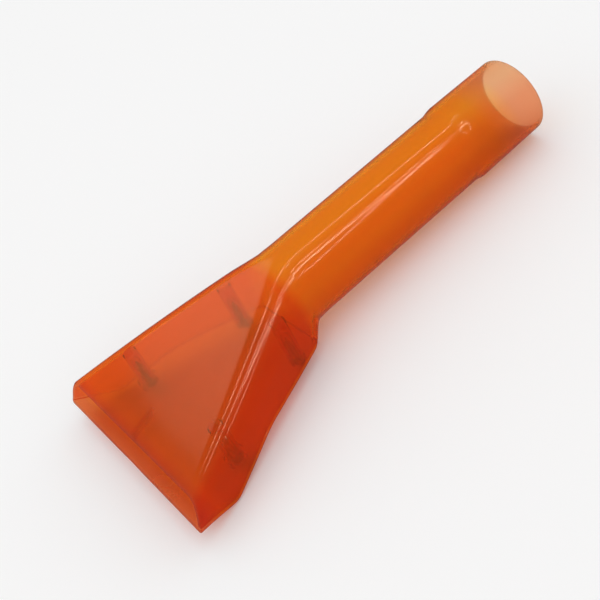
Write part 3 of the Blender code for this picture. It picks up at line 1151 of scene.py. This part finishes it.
@dataclass
class Screw:
    """Pan-head self-tapping screw with a rolled thread and a cross recess."""

    place: ScrewPlace
    head_r: float = 3.0
    head_h: float = 2.1
    head_break: float = 0.12
    dome_share: float = 0.55
    dome_steps: int = 7
    core_r: float = 1.12
    crest_r: float = 1.62
    crest_half: float = 0.28
    neck_r: float = 1.42
    neck_fillet: float = 0.2
    neck_end: float = 1.0
    thread_start: float = 1.2
    length: float = 14.0
    tip: float = 3.0
    tip_share: float = 0.16
    tip_curve: float = 0.8
    pitch: float = 1.3
    rings_per_turn: int = 10
    gap: float = 0.3
    sides: int = 40
    recess_span: float = 3.5
    recess_spread: Pair = (1.1, 0.45)
    recess_width: float = 0.75
    recess_depth: float = 1.35
    recess_above: float = 0.5
    smooth_angle: float = 38.0

    def build(self, axes: Matrix, material: bpy.types.Material) -> bpy.types.Object:
        """Build, dress and place the piece."""
        screw = self.turning()
        combine(screw, self.cross(), Cut.REMOVE)
        screw.name = f"screw_{self.place.name}_fine"
        return dress(screw, axes, material, self.smooth_angle)

    def underside(self) -> float:
        """Height of the head's underside."""
        return self.place.seat - self.gap

    def turning(self) -> bpy.types.Object:
        """Head and threaded shank as one closed skin."""
        under = self.underside()
        top = under - self.head_h
        rise = self.head_h * self.dome_share
        angles = [QUARTER_TURN * step / self.dome_steps for step in range(1, self.dome_steps + 1)]
        rings = [
            (self.head_r * math.sin(angle), top + rise * (1 - math.cos(angle)), False)
            for angle in angles]
        rings += [
            (self.head_r, under - self.head_break, False),
            (self.head_r - self.head_break, under, False),
            (self.neck_r + self.neck_fillet, under, False),
            (self.neck_r, under + self.neck_fillet, False),
            (self.neck_r, under + self.neck_end, False),
        ]
        start = under + self.thread_start
        end = under + self.length
        count = round((end - start) / self.pitch * self.rings_per_turn)
        rings += [(0.0, mix(start, end, step / count), True) for step in range(count + 1)]
        skin = Skin()
        skin.solid([skin.row(self._ring(*ring)) for ring in rings])
        return skin.object("screw")

    def _ring(self, radius: float, height: float, threaded: bool) -> Loop:
        """One ring of points, plain or on the thread."""
        ring = []
        for side in range(self.sides):
            turn = side / self.sides
            angle = 2 * math.pi * turn
            reach = self._thread(height, turn) if threaded else radius
            x = self.place.x + reach * math.cos(angle)
            ring.append(Vector((x, self.place.y + reach * math.sin(angle), height)))
        return ring

    def _thread(self, height: float, turn: float) -> float:
        """Radius of the thread at a height and a share of a turn."""
        along = height - self.underside()
        phase = (along / self.pitch + turn) % 1.0
        crest = max(0.0, 1 - abs(phase - 0.5) / self.crest_half)
        fade = smooth_step((along - self.thread_start) / self.pitch)
        radius = mix(self.core_r, self.crest_r, crest * fade)
        taper = clamp((self.length - along) / self.tip)
        return radius * mix(self.tip_share, 1.0, taper ** self.tip_curve)

    def cross(self) -> list[bpy.types.Object]:
        """Two tapered bars that cut the cross recess."""
        top = self.underside() - self.head_h
        heights = (top - self.recess_above, top + self.recess_depth)
        bars = []
        for turn in (math.pi / 4, -math.pi / 4):
            skin = Skin()
            rows = []
            for height, span in zip(heights, self.recess_spread):
                along = Vector((math.cos(turn), math.sin(turn), 0.0)) * self.recess_span * span / 2
                across = Vector((-math.sin(turn), math.cos(turn), 0.0)) * self.recess_width / 2
                middle = Vector((self.place.x, self.place.y, height))
                corners = ((1, 1), (-1, 1), (-1, -1), (1, -1))
                rows.append(skin.row(middle + along * a + across * b for a, b in corners))
            skin.solid(rows)
            bars.append(skin.object("recess"))
        return bars


def drop_folds(bm: bmesh.types.BMesh) -> None:
    """Delete pairs of faces that lie back to back on the same corners."""
    seen = {}
    folds = []
    for face in bm.faces:
        corners = frozenset(face.verts)
        if corners in seen:
            folds += [face, seen.pop(corners)]
        else:
            seen[corners] = face
    bmesh.ops.delete(bm, geom=folds, context="FACES")


def dress(obj: bpy.types.Object, axes: Matrix, material: bpy.types.Material,
          smooth_angle: float) -> bpy.types.Object:
    """Lay a piece down in the row's axes, shade it and give it its finish.

    Args:
        obj: The piece, modelled in the tool's axes.
        axes: From the tool's axes to the row's.
        material: Its finish.
        smooth_angle: Edges sharper than this many degrees stay crisp.

    Returns:
        The same piece.
    """
    bm = bmesh.new()
    bm.from_mesh(obj.data)
    bmesh.ops.transform(bm, matrix=axes, verts=bm.verts)
    bmesh.ops.triangulate(bm, faces=[face for face in bm.faces if len(face.verts) > 4])
    bmesh.ops.remove_doubles(bm, verts=bm.verts, dist=WELD_DISTANCE)
    drop_folds(bm)
    bmesh.ops.recalc_face_normals(bm, faces=bm.faces)
    bm.to_mesh(obj.data)
    bm.free()
    obj.data.materials.clear()
    obj.data.materials.append(material)
    obj.data.shade_smooth()
    obj.data.set_sharp_from_angle(angle=math.radians(smooth_angle))
    return obj


# ------------------------------------------------------------------ studio

@dataclass(frozen=True)
class Viewpoint:
    """The camera's place, as a direction and distance from the point it looks at."""

    target: Triple = (-0.02415, -0.00808, 0.020)
    distance: float = 0.4291
    azimuth: float = 19.65
    elevation: float = 39.78
    roll: float = 29.17
    lens: float = 60.0
    sensor: float = 36.0
    nearest: float = 0.01

    def forward(self) -> Vector:
        """Direction of view. Azimuth 0 looks along +Y."""
        azimuth, elevation = math.radians(self.azimuth), math.radians(self.elevation)
        level = math.cos(elevation)
        return Vector((
            math.sin(azimuth) * level, math.cos(azimuth) * level, -math.sin(elevation)))

    def location(self) -> Vector:
        """Where the camera stands."""
        return Vector(self.target) - self.forward() * self.distance

    def build(self) -> None:
        """Add the camera and make it the scene's."""
        data = bpy.data.cameras.new("studio_camera")
        data.lens = self.lens
        data.sensor_width = self.sensor
        data.clip_start = self.nearest
        camera = in_scene("studio_camera", data)
        level = self.forward().to_track_quat("-Z", "Y").to_matrix().to_4x4()
        turn = Matrix.Rotation(-math.radians(self.roll), 4, "Z")
        camera.matrix_world = Matrix.Translation(self.location()) @ level @ turn
        bpy.context.scene.camera = camera


@dataclass(frozen=True)
class StripSet:
    """Thin lights for one part of the tool, given by the highlights they draw on it.

    Each line has a station and an angle from the top, in degrees, for either end. The lights
    face the tool's axis at one station.
    """

    name: str
    lines: tuple[tuple[Pair, Pair], ...]
    aim_x: float
    width: float


@dataclass(frozen=True)
class Studio:
    """Pale floor, an even bright room, a softbox and thin strip lights."""

    shape: DuctShape
    view: Viewpoint
    floor_reach: float = 20.0
    floor_z: float = -0.0002
    room: float = 1.0
    room_reflected: float = 0.12
    tube_strips: StripSet = StripSet("tube", (
        ((92.0, 23.0), (192.0, 27.0)),
        ((92.0, 40.0), (176.0, 37.0)),
        ((92.0, 50.0), (186.0, 39.0)),
    ), 150.0, 4.0)
    shoulder_strips: StripSet = StripSet("shoulder", (
        ((90.0, 26.0), (11.0, 22.0)),
        ((90.0, 35.0), (11.0, 33.0)),
        ((88.0, 43.0), (40.0, 36.0)),
    ), 50.0, 7.0)
    strip_distance: float = 520.0
    strip_radiance: float = 56.0
    softbox_spot: Pair = (76.0, -38.0)
    softbox_distance: float = 700.0
    softbox_size: float = 0.38
    softbox_radiance: float = 12.0
    softbox_rings: int = 8
    warm: Triple = (1.0, 0.66, 0.44)

    def build(self, axes: Matrix) -> None:
        """Set up the floor and the lights."""
        self.floor()
        self.room_light()
        self.strips(axes)
        self.softbox(axes)

    def floor(self) -> None:
        """Floor well beyond the view, a hair below the tool."""
        skin = Skin()
        corners = ((-1, -1), (1, -1), (1, 1), (-1, 1))
        reach = self.floor_reach
        skin.face(skin.row(Vector((x * reach, y * reach, self.floor_z)) for x, y in corners))
        floor = skin.object("studio_floor")
        floor.data.materials.append(PaleFloor().material())
        floor.visible_glossy = False

    def room_light(self) -> None:
        """Even white light from all round, dimmer where it is only reflected."""
        world = bpy.data.worlds.new("studio_room")
        world.use_nodes = True
        tree = world.node_tree
        rays = tree.nodes.new("ShaderNodeLightPath")
        reflected = tree.nodes.new("ShaderNodeMath")
        reflected.operation = "MULTIPLY"
        tree.links.new(rays.outputs["Is Glossy Ray"], reflected.inputs[0])
        tree.links.new(rays.outputs["Is Reflection Ray"], reflected.inputs[1])
        strength = tree.nodes.new("ShaderNodeMapRange")
        tree.links.new(reflected.outputs[0], strength.inputs["Value"])
        strength.inputs["To Min"].default_value = self.room
        strength.inputs["To Max"].default_value = self.room_reflected
        background = tree.nodes["Background"]
        background.inputs["Color"].default_value = (1.0, 1.0, 1.0, 1.0)
        tree.links.new(strength.outputs[0], background.inputs["Strength"])
        bpy.context.scene.world = world
        bpy.context.scene.view_settings.view_transform = "Standard"

    def mirror_place(self, axes: Matrix, place: Vector, normal: Vector,
                     distance: float) -> Vector:
        """Where a light must be for its reflection to show at a place on the tool.

        Args:
            axes: From the tool's axes to the row's.
            place: The place, in the tool's axes.
            normal: The surface's outward direction there.
            distance: How far away the light is, in millimetres.

        Returns:
            The light's place in the row's axes.
        """
        here = axes @ place
        outward = (axes.to_3x3() @ normal).normalized()
        to_camera = (self.view.location() - here).normalized()
        mirrored_ray = outward * (2 * outward.dot(to_camera)) - to_camera
        return here + mirrored_ray * distance * MM

    def strips(self, axes: Matrix) -> None:
        """Thin lights that draw the long highlights on the tube and the head's shoulder."""
        for strips, spot in ((self.tube_strips, self.shape.tube_spot),
                             (self.shoulder_strips, self.shape.shoulder_spot)):
            aim = axes @ Vector((strips.aim_x, 0.0, 0.0))
            for number, line in enumerate(strips.lines):
                ends = [
                    self.mirror_place(axes, *spot(x, math.radians(angle)), self.strip_distance)
                    for x, angle in line]
                self.area_light(f"{strips.name}_strip_{number}", *ends, strips.width * MM, aim,
                                self.strip_radiance)

    def softbox(self, axes: Matrix) -> None:
        """Broad soft-edged light, built up from nested ones, that sheens the front wall."""
        slope = math.atan(self.shape.front_slope)
        normal = Vector((-math.sin(slope), 0.0, math.cos(slope)))
        x, y = self.softbox_spot
        place = Vector((x, y, self.shape.front(x)))
        middle = self.mirror_place(axes, place, normal, self.softbox_distance)
        aim = axes @ place
        across = (middle - aim).cross(Vector((0.0, 0.0, 1.0))).normalized()
        radiance = self.softbox_radiance / self.softbox_rings
        disc_share = math.pi / 4
        for ring in range(self.softbox_rings):
            share = (ring + 1) / self.softbox_rings
            reach = across * self.softbox_size * share / 2
            light = self.area_light(f"softbox_{ring}", middle - reach, middle + reach,
                                    self.softbox_size * share, aim, radiance)
            light.data.shape = "DISK"
            light.data.energy *= disc_share

    def area_light(self, name: str, start: Vector, end: Vector, width: float, aim: Vector,
                   radiance: float) -> bpy.types.Object:
        """Add a rectangular light between two ends, which shows only as a reflection.

        Args:
            name: The light's name.
            start: Middle of one short side.
            end: Middle of the other.
            width: Length of the short sides, in metres.
            aim: The point it faces.
            radiance: How bright its surface is.

        Returns:
            The light.
        """
        along = end - start
        length = along.length
        middle = (start + end) / 2
        backward = (middle - aim).normalized()
        x_axis = (along - backward * along.dot(backward)).normalized()
        y_axis = backward.cross(x_axis)
        data = bpy.data.lights.new(name, "AREA")
        data.shape = "RECTANGLE"
        data.size = length
        data.size_y = width
        data.energy = radiance * length * width * math.pi
        data.color = self.warm
        data.cycles.max_bounces = 0
        light = in_scene(name, data)
        light.visible_diffuse = False
        light.visible_transmission = False
        rotation = Matrix((x_axis, y_axis, backward)).transposed().to_4x4()
        light.matrix_world = Matrix.Translation(middle) @ rotation
        return light


# ------------------------------------------------------------------ the whole scene

def ride_and_replace(piece: bpy.types.Object, node: str) -> None:
    """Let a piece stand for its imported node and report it."""
    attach(piece, BODY)
    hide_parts(node)
    LOG.info("%s stands for %s, %d faces", piece.name, node, len(piece.data.polygons))


def main() -> None:
    """Build the camera, the studio and every piece."""
    logging.basicConfig(level=logging.INFO, format="%(name)s: %(message)s")
    shape = DuctShape()
    axes = ToolAxes(shape).matrix()
    layout = ScrewLayout(shape)
    view = Viewpoint()
    view.build()
    Studio(shape, view).build(axes)
    plastic = TranslucentOrange(axes).material()
    steel = ZincSteel().material()
    body = NozzleBody(DuctSurface(shape), layout).build(axes, plastic)
    ride_and_replace(body, "nozzle_body")
    cover = BackCover(DuctSurface(shape), layout).build(axes, plastic)
    ride_and_replace(cover, "back_cover")
    for place in layout.places():
        screw = Screw(place).build(axes, steel)
        ride_and_replace(screw, f"screw_{place.name}")


if __name__ == "__main__":
    main()
